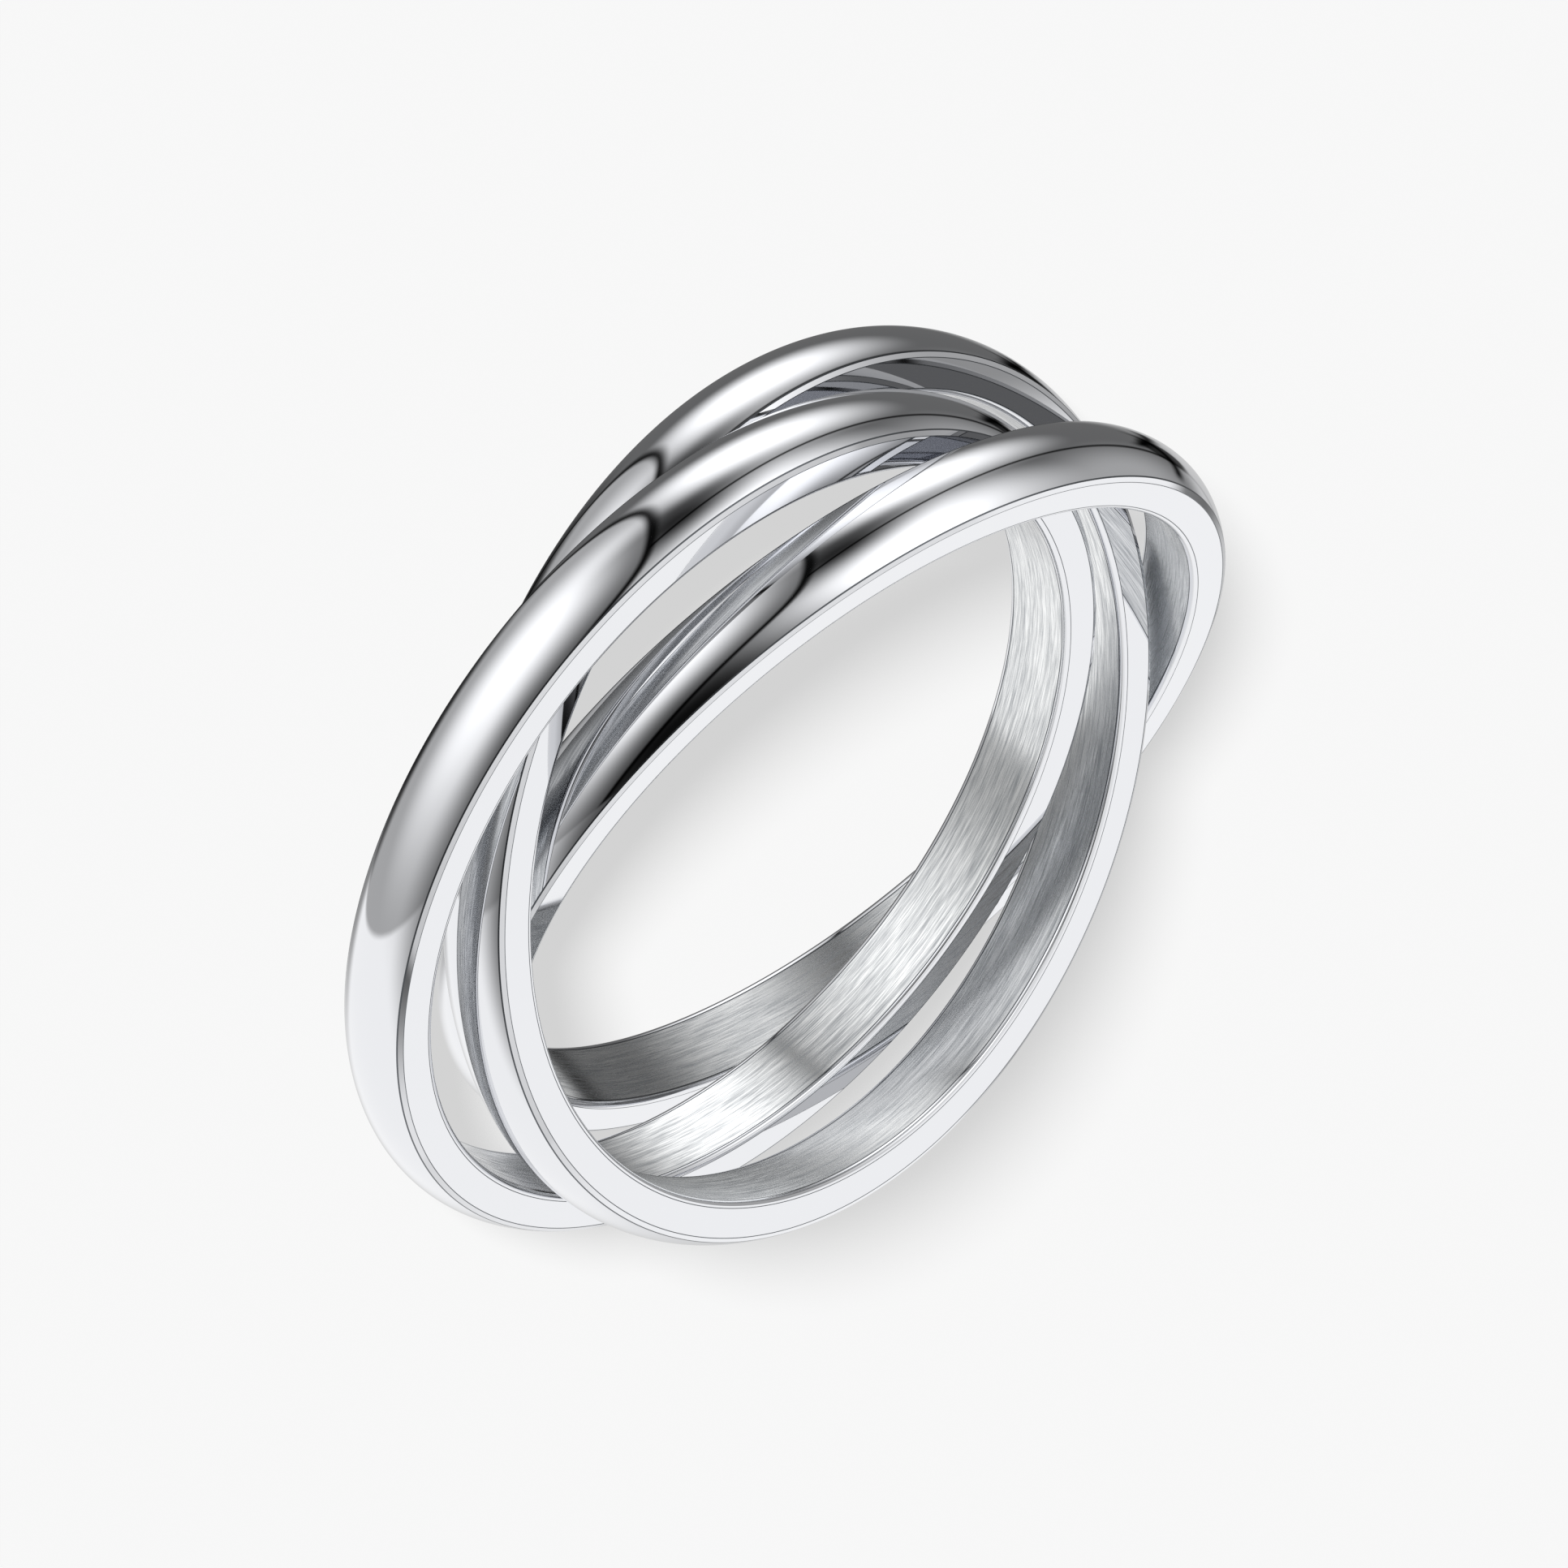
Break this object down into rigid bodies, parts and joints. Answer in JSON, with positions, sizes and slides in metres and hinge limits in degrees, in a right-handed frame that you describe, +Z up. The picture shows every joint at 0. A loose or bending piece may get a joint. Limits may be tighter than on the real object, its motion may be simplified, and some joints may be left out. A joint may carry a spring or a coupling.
{
  "type": "interlinked rolling ring",
  "caption": "Finger ring of interlinked domed steel bands that spin and roll over each other, mirror-polished outside with a brushed bore.",
  "frame": {"origin": "centre of the box's underside, on the surface that the ring lies on", "axes": "+Z up, square to the surface; +X along the line through the places where the bands cross"},
  "size_m": [0.0254, 0.0216, 0.0074],
  "materials": {
    "polished_steel": "stainless steel: mirror-polished dome and side faces, bore brushed along the circumference"
  },
  "bodies": {
    "level_band": {"level_band": "polished_steel"},
    "front_leaning_band": {"front_leaning_band": "polished_steel"},
    "back_leaning_band": {"back_leaning_band": "polished_steel"}
  },
  "joints": [
    {"name": "front_leaning_spin", "type": "hinge", "parent": "level_band", "child": "front_leaning_band", "pos_m": [-0.00038, -0.00024, 0.00369], "axis": [0.0232, -0.265, 0.964], "continuous": true},
    {"name": "back_leaning_spin", "type": "hinge", "parent": "level_band", "child": "back_leaning_band", "pos_m": [-0.00193, 0.00027, 0.0033], "axis": [0.0238, 0.2268, 0.9737], "continuous": true}
  ]
}
